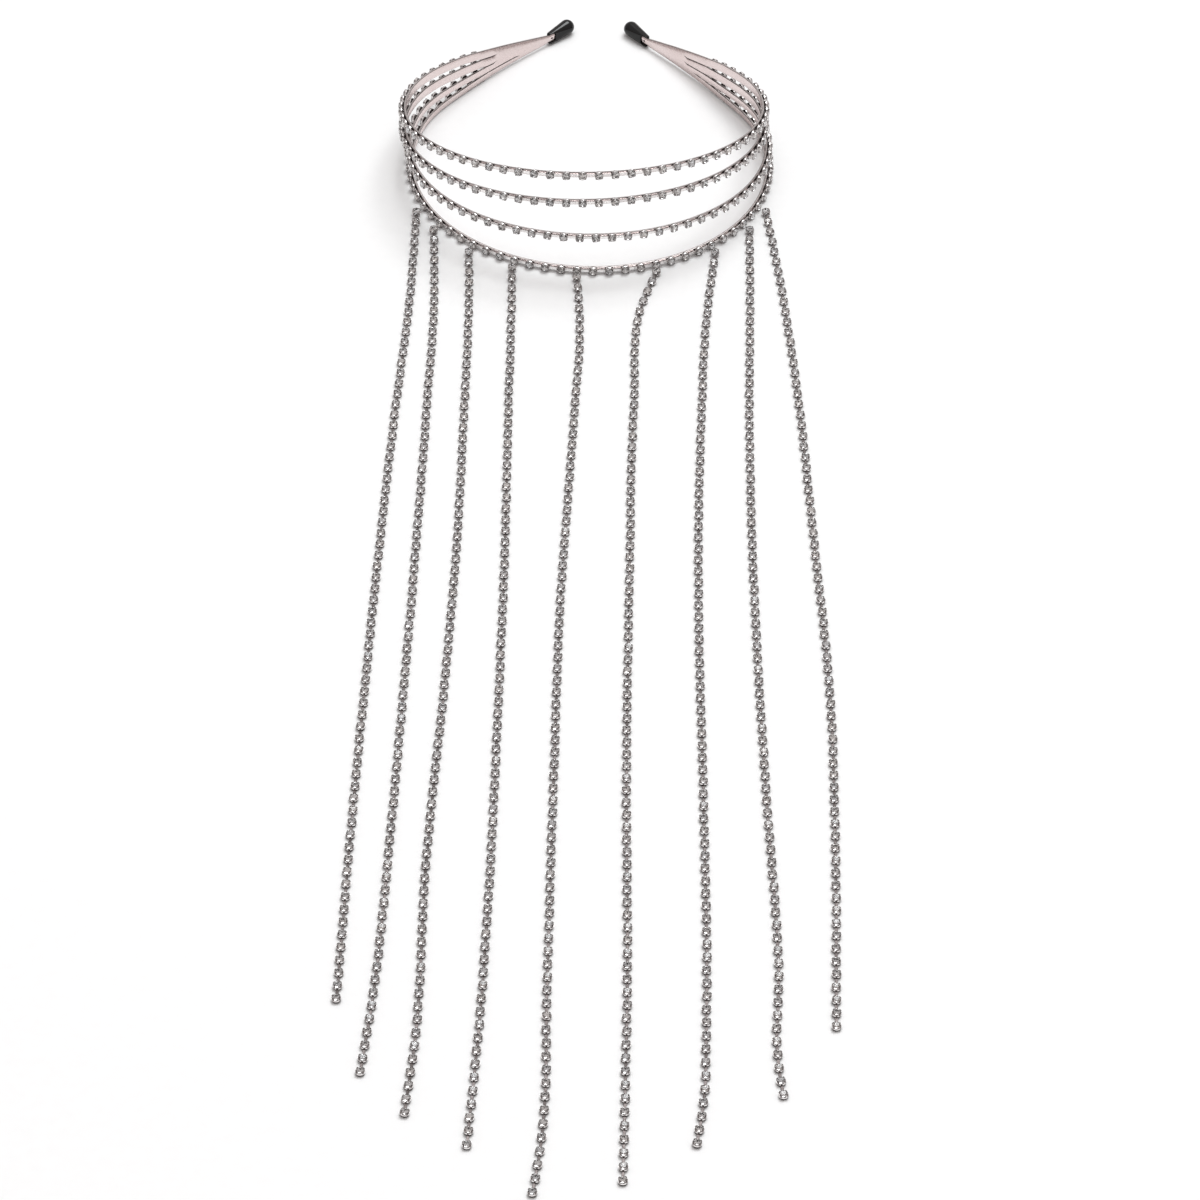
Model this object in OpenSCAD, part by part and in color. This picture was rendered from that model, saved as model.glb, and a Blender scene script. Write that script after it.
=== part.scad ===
// A headband of four thin metal strips that fan out from one flat plate behind each ear.
// Every strip carries a chain of cupped crystals, and nine more chains hang from the lowest one.
// It lies flat: the band rests on its lowest chain and its two covers, the tassels on the table.

/* [Strip outline] */
// Bend radius of the strips over the brow
front_radius = 65; // [60:1:72]
// Angle that the brow bend covers, from the middle to one side
front_turn = 44; // [38:1:50]
// Bend radius at the temples
side_radius = 58; // [52:1:64]
// Angle that the temple bend covers
side_turn = 82; // [76:1:86]
// Bend radius behind the ears
rear_radius = 200; // [160:5:260]
// Angle that the bend behind the ear covers
rear_turn = 12; // [8:1:16]
// Straight metal at each end, under the tip cover and just before it
tip_run = 15; // [13:0.5:20]

/* [Strip section] */
// Height of the two lower strips beside the end plates
low_strip_h = 2.4; // [2.2:0.1:2.6]
// Height of the two upper strips beside the end plates
high_strip_h = 3; // [2.8:0.1:3.2]
// Height of every strip over the brow, where they are narrower
brow_h = 1.8; // [1.6:0.1:2.2]
// Length along a strip, from the brow's middle, at which it starts to widen
widen_start = 40; // [30:5:60]
// Length along a strip at which it has its full height
widen_end = 120; // [110:5:140]
// Thickness of the sheet metal
strip_t = 0.8; // [0.6:0.1:1]
// Width of the saw cut where a slot starts in the end plate
slot_w = 0.2; // [0.15:0.05:0.3]

/* [Fan] */
// Distance behind the metal ends of the line that the strips fan out from
fan_back = 3; // [2:0.5:5]
// Middle of the top strip above the table at the brow
top_rise = 39; // [34:0.5:44]
// Middle of the second strip above the table at the brow
second_rise = 29; // [25:0.5:31]
// Middle of the third strip above the table at the brow
third_rise = 15.5; // [13:0.5:18]
// Distance from the fan line at which the end plates begin to widen
plate_start = 7; // [6:0.5:8]
// Distance from the fan line at which the strips have parted
plate_reach = 36; // [34:1:40]
// Distance there between the middles of the lowest and the top strip
plate_spread = 11.6; // [11.4:0.2:13]

/* [Crystal chain] */
// Distance from one stone to the next
pitch = 5.5; // [5.2:0.1:6]
// Outer width of a cup
cup_d = 3.05; // [2.9:0.05:3.2]
// Depth of a cup
cup_depth = 1.3; // [1.1:0.1:1.5]
// Width of a stone at its girdle
stone_d = 2.75; // [2.5:0.05:2.8]
// Width of the flat table on top of a stone
table_d = 1.6; // [1.3:0.1:1.8]
// Height of a stone above its cup
stone_rise = 0.6; // [0.4:0.1:0.8]
// Length along a strip, from the brow's middle, that the stones may reach
chain_run = 150; // [120:5:150]

/* [Tip covers] */
// Radius of the round bulb at each end
bulb_r = 2.7; // [2.5:0.1:3]
// Distance from the metal's end on to the middle of the bulb
bulb_past = 2.6; // [2:0.1:3]
// Distance from the sheet's middle out to the middle of the bulb
bulb_out = 1.5; // [1:0.1:1.6]
// Distance from the metal's end to the cover's mouth
cover_run = 7; // [6:0.5:9]
// Wall of the cover
cover_wall = 0.35; // [0.3:0.05:0.5]

/* [Hidden] */

// Strips counted from the lowest up, as the fan is built
LOWEST = 0;
TOP = 3;
// Sideways lean of each strip's brow, from the lowest up: the band was laid down slightly askew
brow_lean = [1.8, 0.3, -4.4, -4.5];
// How much flatter the brow is than its bend alone would make it
brow_back = 1;
// How far each strip bows forward beside the end plates, and the reach over which it does
plate_bow = [1, 1.3, 0.8, 0];
bow_reach = 49;
// Place of each chain along its strip, from the lowest up
chain_shift = [-2.4, 0, 0, 0];
// Stations between which the strips are bent, and how many of them each slot stays closed for,
// counted from the metal's end, lowest slot first
stations = 70;
slot_start_left = [4, 6, 6];
slot_start_right = [6, 5, 5];

// Stones on each half of a strip, beside the middle one
half_count = floor(chain_run / pitch);

// Small gaps between pieces
cup_gap = 0.1;
link_gap = 0.15;
pocket_gap = 0.12;
seat_gap = 0.3;

// Flat bar between two cups
link_w = 0.9;
link_t = 0.35;
link_lift = 0.3;
// How far a bar, and a stone's foot, reach into the cup
cup_bite = 0.3;
// Sides of a cup's round wall and of a stone
cup_sides = 40;
stone_sides = 8;

// Cover details: how far the mouth's inner face is cut back, the round of its lips,
// and how much wider the pocket is towards the inner face, where the plate bends
notch_run = 2.4;
lip_r = 0.3;
pocket_inner = -1.3;
// Block that cuts the notch: it starts at the plate's middle and clears the inner wall
notch_depth = -4;
// Sides of the rounded bulb and of the lips
bulb_sides = 24;
lip_sides = 8;

// Table under the band and the middle of the whole piece on it
rest_z = cup_d / 2 + 0.02;
centre_x = 15.9;
centre_y = -281.8;

// Arc lengths at which one half of a strip changes its bend
s_front = front_radius * front_turn * PI / 180;
s_side = s_front + side_radius * side_turn * PI / 180;
s_rear = s_side + rear_radius * rear_turn * PI / 180;
half_length = s_rear + tip_run;
end_heading = front_turn + side_turn + rear_turn;

// Centres of the three bends, with the middle of the brow at the origin
front_centre = [0, front_radius];
side_centre = front_centre + (front_radius - side_radius) * facing(front_turn);
rear_centre = side_centre + (side_radius - rear_radius) * facing(front_turn + side_turn);
rear_end = rear_centre + rear_radius * facing(end_heading);

// Depth from the brow to the line that the strips fan out from
fan_depth = rear_end[1] + (tip_run + fan_back) * sin(end_heading);
rises = [rest_z, third_rise, second_rise, top_rise];
tilts = [for (rise = rises) asin((rise - bulb_r) / fan_depth)];

// Outward direction of a bend at a heading, in the strip's own plane
function facing(heading) = [sin(heading), -cos(heading)];

// Heading of the right half at an arc length from the brow
function heading_at(s) =
    s < s_front ? s / front_radius * 180 / PI :
    s < s_side ? front_turn + (s - s_front) / side_radius * 180 / PI :
    s < s_rear ? front_turn + side_turn + (s - s_side) / rear_radius * 180 / PI :
    end_heading;

// Point of the right half at an arc length from the brow
function half_point(s) =
    s < s_front ? front_centre + front_radius * facing(heading_at(s)) :
    s < s_side ? side_centre + side_radius * facing(heading_at(s)) :
    s < s_rear ? rear_centre + rear_radius * facing(heading_at(s)) :
    rear_end + (s - s_rear) * [cos(end_heading), sin(end_heading)];

// Height of a strip's middle: it leaves the end plate steeply, then rises evenly to the brow
function strip_rise(strip, reach) =
    let (
        plate_share = strip / TOP * plate_spread,
        widened = max(reach - plate_start, 0) / (plate_reach - plate_start),
        after = (reach - plate_reach) / (fan_depth - plate_reach)
    )
    reach < plate_reach
        ? bulb_r + (rest_z - bulb_r) * reach / plate_reach + plate_share * widened
        : (rest_z + plate_share) * (1 - after) + rises[strip] * after;

// Middle of a strip: s runs from minus half_length on the left to plus half_length on the right
function strip_point(strip, s) =
    let (
        flat = half_point(abs(s)),
        reach = fan_depth - flat[1],
        brow_share = pow(reach / fan_depth, 2),
        bowed = min(max(reach - plate_start, 0) / bow_reach, 1),
        bow = plate_bow[strip] * sin(180 * bowed) - brow_back * brow_share
    )
    [
        sign(s) * flat[0] + brow_lean[strip] * brow_share,
        -reach * cos(tilts[strip]) - bow,
        strip_rise(strip, reach)
    ];

// Half the height of a strip: it widens towards the end plates
function half_height(strip, s) =
    let (
        full = strip > TOP / 2 ? high_strip_h : low_strip_h,
        widened = (abs(s) - widen_start) / (widen_end - widen_start)
    )
    (brow_h + (full - brow_h) * min(max(widened, 0), 1)) / 2;

// The strip's own up, along and outward directions, the last square to the other two
function strip_up(strip) = [0, sin(tilts[strip]), cos(tilts[strip])];
function strip_along(strip, s) =
    let (step = strip_point(strip, s + 0.5) - strip_point(strip, s - 0.5))
    step / norm(step);
function strip_out(strip, s) =
    let (out = cross(strip_along(strip, s), strip_up(strip)))
    out / norm(out);

// Edge of the fan's wall: the lowest strip's foot or the top strip's head
function wall_foot(s) = strip_point(LOWEST, s) - half_height(LOWEST, s) * strip_up(LOWEST);
function wall_head(s) = strip_point(TOP, s) + half_height(TOP, s) * strip_up(TOP);

// Free edges of two neighbouring strips, at least a saw cut apart
function head_edge(strip, s) =
    let (
        head = strip_point(strip, s) + half_height(strip, s) * strip_up(strip),
        foot = strip_point(strip + 1, s) - half_height(strip + 1, s) * strip_up(strip + 1),
        gap = (foot - head) * strip_up(strip)
    )
    gap > slot_w ? head : (head + foot) / 2 - slot_w / 2 * strip_up(strip);
function foot_edge(strip, s) =
    let (
        head = strip_point(strip - 1, s) + half_height(strip - 1, s) * strip_up(strip - 1),
        foot = strip_point(strip, s) - half_height(strip, s) * strip_up(strip),
        gap = (foot - head) * strip_up(strip)
    )
    gap > slot_w ? foot : (head + foot) / 2 + slot_w / 2 * strip_up(strip);

// Edge that two neighbouring strips share where the sheet isn't cut
function shared_edge(slot, s) =
    let (
        middle = (strip_point(slot, s) + strip_point(slot + 1, s)) / 2,
        share = (slot + 1) / (TOP + 1)
    )
    [middle[0], middle[1], wall_foot(s)[2] * (1 - share) + wall_head(s)[2] * share];

// Edges of the strips are rails 0 to 7 from the lowest up: even ones are feet, odd ones heads.
// A slot is closed near the ends, where a head and the next foot are one rail.
function station_s(i) = -half_length + i * 2 * half_length / stations;
function slot_closed(slot, i) = i <= slot_start_left[slot] || i >= stations - slot_start_right[slot];
function rail_point(i, rail) =
    let (
        s = station_s(i),
        strip = floor(rail / 2),
        is_head = rail % 2 == 1,
        slot = is_head ? strip : strip - 1
    )
    rail == 0 ? wall_foot(s) :
    rail == 7 ? wall_head(s) :
    slot_closed(slot, i) ? shared_edge(slot, s) :
    is_head ? head_edge(strip, s) : foot_edge(strip, s);
function rail_used(i, rail) =
    rail > 0 && rail % 2 == 0 && slot_closed(rail / 2 - 1, i) ? rail - 1 : rail;

// Number of a corner of the wall: side 0 is the inner face, side 1 the outer
function corner(i, rail, side) = (i * 8 + rail_used(i, rail)) * 2 + side;

// Two triangles of a face with four corners
function halves(a, b, c, d) = [[a, b, c], [a, c, d]];

// Faces of the wall between one station and the next
function strip_faces(i, strip) =
    let (foot = 2 * strip, head = 2 * strip + 1, j = i + 1)
    concat(
        halves(corner(i, foot, 1), corner(i, head, 1), corner(j, head, 1), corner(j, foot, 1)),
        halves(corner(i, foot, 0), corner(j, foot, 0), corner(j, head, 0), corner(i, head, 0))
    );
function foot_faces(i, rail) =
    let (j = i + 1)
    halves(corner(i, rail, 0), corner(i, rail, 1), corner(j, rail, 1), corner(j, rail, 0));
function head_faces(i, rail) =
    let (j = i + 1)
    halves(corner(i, rail, 0), corner(j, rail, 0), corner(j, rail, 1), corner(i, rail, 1));
function slot_faces(i, slot) =
    slot_closed(slot, i) && slot_closed(slot, i + 1) ? [] :
    concat(head_faces(i, 2 * slot + 1), foot_faces(i, 2 * slot + 2));
function end_faces(i, flip) =
    [for (strip = [0:3])
        let (
            a = corner(i, 2 * strip, 0),
            b = corner(i, 2 * strip, 1),
            c = corner(i, 2 * strip + 1, 1),
            d = corner(i, 2 * strip + 1, 0)
        )
        for (face = flip ? halves(a, d, c, b) : halves(a, b, c, d)) face];

// Four strips and the two end plates that they are cut from, one bent sheet
module headband_frame() {
    points = [for (i = [0:stations], rail = [0:7], side = [0, 1])
        rail_point(i, rail) + (side - 0.5) * strip_t * strip_out(floor(rail / 2), station_s(i))];
    faces = concat(
        [for (i = [0:stations - 1], strip = [0:3]) each strip_faces(i, strip)],
        [for (i = [0:stations - 1]) each foot_faces(i, 0)],
        [for (i = [0:stations - 1]) each head_faces(i, 7)],
        [for (i = [0:stations - 1], slot = [0:2]) each slot_faces(i, slot)],
        end_faces(0, true),
        end_faces(stations, false)
    );
    color("silver") polyhedron(points = points, faces = faces);
}

// Puts a child's Z along the strip's outward direction, its X along the strip
module on_strip(strip, s, lift) {
    along = strip_along(strip, s);
    out = strip_out(strip, s);
    up = cross(out, along);
    at = strip_point(strip, s) + lift * out;
    multmatrix([
        [along[0], -up[0], out[0], at[0]],
        [along[1], -up[1], out[1], at[1]],
        [along[2], -up[2], out[2], at[2]]
    ])
    children();
}

// One cup and its cut stone
module cupped_stone() {
    cylinder(d = cup_d, h = cup_depth, $fn = cup_sides);
    translate([0, 0, cup_depth - cup_bite])
        cylinder(d1 = stone_d, d2 = table_d, h = stone_rise + cup_bite, $fn = stone_sides);
}

// Bar that reaches from a cup to just short of the next one, "span" away
module link_bar(span) {
    translate([cup_d / 2 - cup_bite, -link_w / 2, link_lift])
        cube([span - cup_d + cup_bite - link_gap, link_w, link_t]);
}

// Chain of stones on the outer face of one strip
module band_chain(strip) {
    function cup_s(i) = i * pitch + chain_shift[strip];
    color("gainsboro")
    for (i = [-half_count:half_count]) {
        on_strip(strip, cup_s(i), strip_t / 2 + cup_gap) {
            union() {
                cupped_stone();
                if (i < half_count)
                    link_bar(norm(strip_point(strip, cup_s(i + 1)) - strip_point(strip, cup_s(i))));
            }
        }
    }
}

// Corner of a section across the end plate: grown by "room" on every side
function plate_corner(s, room, is_head, side) =
    let (
        rise = wall_head(s) - wall_foot(s),
        up = rise / norm(rise),
        out = strip_out(is_head ? TOP : LOWEST, s)
    )
    (is_head ? wall_head(s) + room * up : wall_foot(s) - room * up)
    + side * (strip_t / 2 + room) * out;

// Block around the end plate between two places, from one side of the sheet to the other
module plate_block(from_s, to_s, room, inner, outer) {
    points = [for (s = [from_s, to_s], is_head = [false, true], side = [inner, outer])
        plate_corner(s, room, is_head, side)];
    hull() polyhedron(
        points = points,
        faces = [[0, 1, 3, 2], [4, 6, 7, 5], [0, 4, 5, 1], [2, 3, 7, 6], [0, 2, 6, 4], [1, 5, 7, 3]]
    );
}

// Soft cover on the right end: a bulb, most of it outside the sheet, that narrows to a mouth
module tip_cover() {
    mouth_s = half_length - cover_run;
    lip_room = pocket_gap + cover_wall - lip_r / 2;
    bulb_s = half_length + bulb_past;
    bulb = strip_point(LOWEST, bulb_s) + bulb_out * strip_out(LOWEST, bulb_s);
    difference() {
        hull() {
            translate([bulb[0], bulb[1], bulb_r]) sphere(r = bulb_r, $fn = bulb_sides);
            for (is_head = [false, true], side = [-1, 1]) {
                translate(plate_corner(mouth_s, lip_room, is_head, side))
                    sphere(r = lip_r, $fn = lip_sides);
            }
        }
        plate_block(half_length + pocket_gap, mouth_s - 2, pocket_gap, pocket_inner, 1);
        plate_block(mouth_s + notch_run, mouth_s - 3, 0, notch_depth, 0);
    }
}

module tip_cover_right() {
    color("dimgray") tip_cover();
}

module tip_cover_left() {
    color("dimgray") mirror([1, 0, 0]) tip_cover();
}

// Section of a tassel lying stones up: how far sideways and how high above the table
foot_half = 1.3;
foot_bevel = 0.3;
tassel_section = [
    [-foot_half, 0], [foot_half, 0], [cup_d / 2, foot_bevel], [cup_d / 2, cup_depth],
    [table_d / 2, cup_depth + stone_rise], [-table_d / 2, cup_depth + stone_rise],
    [-cup_d / 2, cup_depth], [-cup_d / 2, foot_bevel]
];
// Distance between two rings of a tassel
ring_step = 12;

// Tassels from left to right: the stone of the lowest chain that each hangs from,
// then its route over the table as x and y from the middle of the band's open end
TASSEL_STONE = 0;
TASSEL_ROUTE = 1;
tassels = [
    [-12, [[-57.5, -150], [-58, -215], [-58, -280], [-57.5, -345], [-56.5, -420], [-55, -491]]],
    [-10, [[-49, -155], [-47.5, -210], [-46, -280], [-45, -345], [-44, -430], [-44, -485], [-45.5, -521]]],
    [-7, [[-37, -155], [-34.5, -220], [-32.5, -285], [-32, -345], [-32, -430], [-30, -510], [-31, -537]]],
    [-4, [[-22, -160], [-19.5, -220], [-16.5, -285], [-14.5, -345], [-12, -430], [-11, -495], [-11.5, -549]]],
    [0, [[1.5, -160], [2.5, -220], [3, -305], [5.5, -390], [8.5, -480], [10.5, -545], [9, -567]]],
    [5, [[23, -152], [22.5, -210], [25, -295], [28.5, -390], [33, -480], [35.5, -561]]],
    [9, [[45.5, -150], [45.5, -220], [48, -305], [53, -395], [57.5, -490], [58, -528], [56.5, -545]]],
    [12, [[59.5, -140], [61.5, -210], [66, -300], [73, -397], [79, -475], [79.5, -506], [82, -524]]],
    [14, [[69, -133], [76.5, -190], [85, -275], [92, -350], [95, -415], [97, -495]]]
];

// Start of a tassel beside its cup on the lowest chain, and its whole route on the table
function tassel_start(stone) =
    let (
        s = stone * pitch + chain_shift[LOWEST],
        out = strip_out(LOWEST, s),
        cup_front = strip_t / 2 + cup_gap + cup_depth + stone_rise,
        lift = cup_front + seat_gap + cup_d / 2 * abs(out[0]),
        at = strip_point(LOWEST, s) + lift * out
    )
    [at[0], at[1]];
function tassel_route(tassel) =
    concat([tassel_start(tassel[TASSEL_STONE])], tassel[TASSEL_ROUTE]);

// Direction of a smooth route at one of its points, weighted by the lengths on both sides
function leg(route, i) = route[i + 1] - route[i];
function route_slope(route, i) =
    i == 0 ? leg(route, 0) / norm(leg(route, 0)) :
    i == len(route) - 1 ? leg(route, i - 1) / norm(leg(route, i - 1)) :
    let (before = norm(leg(route, i - 1)), after = norm(leg(route, i)))
    (leg(route, i - 1) / before * after + leg(route, i) / after * before) / (before + after);

// Point of the route between two of its points, t from 0 to 1
function route_point(route, i, t) =
    let (span = norm(leg(route, i)))
    route[i] * (2 * pow(t, 3) - 3 * pow(t, 2) + 1)
    + route_slope(route, i) * span * (pow(t, 3) - 2 * pow(t, 2) + t)
    + route[i + 1] * (3 * pow(t, 2) - 2 * pow(t, 3))
    + route_slope(route, i + 1) * span * (pow(t, 3) - pow(t, 2));
function route_line(route) = concat(
    [for (i = [0:len(route) - 2])
        let (parts = ceil(norm(leg(route, i)) / ring_step))
        for (k = [0:parts - 1]) route_point(route, i, k / parts)],
    [route[len(route) - 1]]
);

// Ring of a tassel, across the line at one of its points
function ring(line, i) =
    let (
        last = len(line) - 1,
        step = line[min(i + 1, last)] - line[max(i - 1, 0)],
        side = [-step[1], step[0]] / norm(step)
    )
    [for (p = tassel_section) [line[i][0] + side[0] * p[0], line[i][1] + side[1] * p[0], p[1]]];

// One tassel: a closed sweep of its section along its route
module tassel(number) {
    line = route_line(tassel_route(tassels[number - 1]));
    sides = len(tassel_section);
    last = len(line) - 1;
    points = [for (i = [0:last]) each ring(line, i)];
    walls = [for (i = [0:last - 1], k = [0:sides - 1])
        let (a = i * sides + k, b = i * sides + (k + 1) % sides)
        each halves(a, a + sides, b + sides, b)];
    start = [[for (k = [0:sides - 1]) k]];
    finish = [[for (k = [sides - 1:-1:0]) last * sides + k]];
    color("lightgray") polyhedron(points = points, faces = concat(walls, start, finish));
}

// Moves the middle of the whole piece over the origin
module placed() {
    translate([-centre_x, -centre_y, 0]) children();
}

placed() headband_frame();
placed() tip_cover_left();
placed() tip_cover_right();
placed() band_chain(3);  // band_chain_1
placed() band_chain(2);  // band_chain_2
placed() band_chain(1);  // band_chain_3
placed() band_chain(0);  // band_chain_4
placed() tassel(1);  // tassel_1
placed() tassel(2);  // tassel_2
placed() tassel(3);  // tassel_3
placed() tassel(4);  // tassel_4
placed() tassel(5);  // tassel_5
placed() tassel(6);  // tassel_6
placed() tassel(7);  // tassel_7
placed() tassel(8);  // tassel_8
placed() tassel(9);  // tassel_9
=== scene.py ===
# %% [markdown]
# # A rhinestone tassel headband, dressed for the camera
#
# The real piece is a costume headband: four thin strips of plated steel open like a fan from one
# flat plate behind each ear. A chain of cupped crystals is soldered along every strip, and nine
# longer chains hang from the lowest strip. Here it lies on a pale table with the tassels combed
# towards us. The construction model already has every size, so this lesson adds what the eye looks
# for: rolled metal edges, pressed cups with claws, cut stones with a mirror back, and soft light.

import math
import random

import bmesh
import bpy
from mathutils import Matrix, Vector


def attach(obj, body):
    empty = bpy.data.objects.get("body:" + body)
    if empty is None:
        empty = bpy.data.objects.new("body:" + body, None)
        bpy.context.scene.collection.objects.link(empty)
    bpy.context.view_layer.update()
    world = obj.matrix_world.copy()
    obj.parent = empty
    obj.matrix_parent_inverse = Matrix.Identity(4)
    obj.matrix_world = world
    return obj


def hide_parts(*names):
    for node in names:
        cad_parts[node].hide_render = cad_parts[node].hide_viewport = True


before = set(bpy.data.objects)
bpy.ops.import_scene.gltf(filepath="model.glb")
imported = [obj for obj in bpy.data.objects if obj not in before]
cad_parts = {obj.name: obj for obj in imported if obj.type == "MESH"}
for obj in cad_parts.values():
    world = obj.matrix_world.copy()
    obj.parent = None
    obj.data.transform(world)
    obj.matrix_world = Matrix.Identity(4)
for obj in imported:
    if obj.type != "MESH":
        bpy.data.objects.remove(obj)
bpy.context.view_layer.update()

# %% [markdown]
# ## The camera
#
# The picture was taken with a long lens from a standing height, looking down at a table. A long
# lens keeps the far plates nearly as large as the near tassels. The place and the tilt were worked
# out from the spacing of the stones, which shrinks a little from the front to the back.

# %% Camera at the photograph's angle
MM = 0.001
camera_place = Vector((0.0735, -1.4783, 1.326))
look_down = math.radians(42.3)
level_ahead = Vector((-0.0505, 0.9987, 0)).normalized()

ahead = level_ahead * math.cos(look_down) - Vector((0, 0, 1)) * math.sin(look_down)
right = ahead.cross(Vector((0, 0, 1))).normalized()
camera = bpy.data.objects.new("camera", bpy.data.cameras.new("camera"))
camera_turn = Matrix((right, right.cross(ahead), -ahead)).transposed().to_4x4()
camera.matrix_world = Matrix.Translation(camera_place) @ camera_turn
camera.data.lens = 181.2
camera.data.sensor_width = 36
bpy.context.scene.collection.objects.link(camera)
bpy.context.scene.camera = camera
print("camera", round(camera_place.length, 2), "m away")

# %% [markdown]
# ## Two small tools for materials
#
# A colour given here is an sRGB hex value, and the shader wants it linear, so one function turns
# one into the other. Another adds a node with its settings and links, which keeps each material
# short enough to read as a recipe.

# %% Colour and node helpers
def linear(hex_colour):
    shares = [int(hex_colour[i : i + 2], 16) / 255 for i in (1, 3, 5)]
    return [s / 12.92 if s <= 0.04045 else ((s + 0.055) / 1.055) ** 2.4 for s in shares] + [1]


def add_node(tree, kind, inputs=None, **settings):
    made = tree.nodes.new(kind)
    for name, value in settings.items():
        setattr(made, name, value)
    for name, value in (inputs or {}).items():
        if isinstance(value, bpy.types.NodeSocket):
            tree.links.new(value, made.inputs[name])
        else:
            made.inputs[name].default_value = value
    return made


def new_finish(name):
    finish = bpy.data.materials.new(name)
    finish.use_nodes = True
    finish.node_tree.nodes.clear()
    return finish, finish.node_tree


def cycles_across(size_mm):
    """Noise scale, in cycles to a metre, for a mark of this size."""
    return 1000 / size_mm


print("mid grey #808080 is", round(linear("#808080")[0], 3), "in linear light")

# %% [markdown]
# ## Silver-plated spring steel
#
# The strips are cut from sheet, polished and plated. Plating follows the rolled surface, so the
# shine is slightly soft and broken by long shallow waves, and a warm grey shows where the layer is
# thin. Roughness from a fine noise gives that broken shine, and a low bump gives the waves.

# %% Strip metal
strip_metal, tree = new_finish("silver_plated_strip")
place = add_node(tree, "ShaderNodeTexCoord").outputs["Object"]
waves = add_node(
    tree, "ShaderNodeTexNoise", {"Vector": place, "Scale": cycles_across(9), "Detail": 3}
).outputs["Fac"]
grain = add_node(
    tree, "ShaderNodeTexNoise", {"Vector": place, "Scale": cycles_across(0.7), "Detail": 4}
).outputs["Fac"]
strip_face = add_node(tree, "ShaderNodeValToRGB", {"Fac": waves})
strip_face.color_ramp.elements[0].position = 0.35
strip_face.color_ramp.elements[0].color = linear("#E0D1CF")
strip_face.color_ramp.elements[1].position = 0.7
strip_face.color_ramp.elements[1].color = linear("#E5D8D6")
strip_shine = add_node(
    tree,
    "ShaderNodeMapRange",
    {"Value": grain, "From Min": 0.3, "From Max": 0.7, "To Min": 0.2, "To Max": 0.3},
).outputs["Result"]
strip_bump = add_node(
    tree, "ShaderNodeBump", {"Height": waves, "Strength": 0.12, "Distance": 0.02 * MM}
).outputs["Normal"]
strip_shader = add_node(
    tree,
    "ShaderNodeBsdfPrincipled",
    {
        "Base Color": strip_face.outputs["Color"],
        "Metallic": 1.0,
        "Roughness": strip_shine,
        "Normal": strip_bump,
    },
)
add_node(tree, "ShaderNodeOutputMaterial", {"Surface": strip_shader.outputs["BSDF"]})
print("strip metal:", len(tree.nodes), "nodes")

# %% [markdown]
# ## Darker metals: sawn edges, claws, links and painted shade
#
# Four darker metal finishes come from one function, with rubbed marks about 0.8 mm wide. The sawn
# edges are a darker grey than the faces, which draws a thin dark line along each edge. The claws
# are painted a mid grey as painted shade, for the shade that falls on and beside them. The flat
# links of a hanging chain are a dark grey, painted shade for the shade in the gaps between its
# cups.
# A near-black painted shade sits in the rolled corners and low on each cup, and draws the fine dark
# outline that makes a white object readable on a white table.

# %% Darker metals and painted shade
RUB_MARK = 0.8


# A metal with a randomly rubbed tone; three of its uses are painted shade
def rubbed_metal_and_painted_shade(name, dark, light, rough):
    finish, tree = new_finish(name)
    place = add_node(tree, "ShaderNodeTexCoord").outputs["Object"]
    rubbed = add_node(
        tree,
        "ShaderNodeTexNoise",
        {"Vector": place, "Scale": cycles_across(RUB_MARK), "Detail": 3},
    ).outputs["Fac"]
    tone = add_node(tree, "ShaderNodeValToRGB", {"Fac": rubbed})
    tone.color_ramp.elements[0].position = 0.35
    tone.color_ramp.elements[0].color = linear(dark)
    tone.color_ramp.elements[1].position = 0.65
    tone.color_ramp.elements[1].color = linear(light)
    shine = add_node(
        tree,
        "ShaderNodeMapRange",
        {"Value": rubbed, "To Min": rough - 0.06, "To Max": rough + 0.06},
    ).outputs["Result"]
    shader = add_node(
        tree,
        "ShaderNodeBsdfPrincipled",
        {"Base Color": tone.outputs["Color"], "Metallic": 1.0, "Roughness": shine},
    )
    add_node(tree, "ShaderNodeOutputMaterial", {"Surface": shader.outputs["BSDF"]})
    return finish


# Sawn edges are a darker grey than the faces, which draws a thin dark line along each edge
sawn_edge = rubbed_metal_and_painted_shade("plated_sawn_edge", "#B0A8A6", "#C6BFBD", 0.35)
# Mid-grey painted shade on the claws, for the shade that falls on and beside them
painted_shade_claw_metal = rubbed_metal_and_painted_shade("claw_painted_shade", "#7D7675", "#9C9594", 0.3)
# Near-black painted shade for the rolled corners and for the foot and low wall of each cup
painted_shade_corner_metal = rubbed_metal_and_painted_shade("near_black_painted_shade", "#332E2D", "#4A4443", 0.35)
# Dark grey painted shade for the links of the hanging chains, standing in for shade in the gaps
painted_shade_link_metal = rubbed_metal_and_painted_shade("flat_link_painted_shade", "#575150", "#726B6A", 0.35)
print("darker metals and painted shade:", [m.name for m in (sawn_edge, painted_shade_claw_metal, painted_shade_corner_metal, painted_shade_link_metal)])

# %% [markdown]
# ## Silver-plated brass cups
#
# Each cup is pressed from thin brass and barrel-plated with thousands of others, so it carries
# small dents and dull marks where cups knocked together. The real marks are finer than a pixel
# here. They are drawn about 0.6 mm wide, which still reads as a lively, slightly broken shine.

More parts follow.
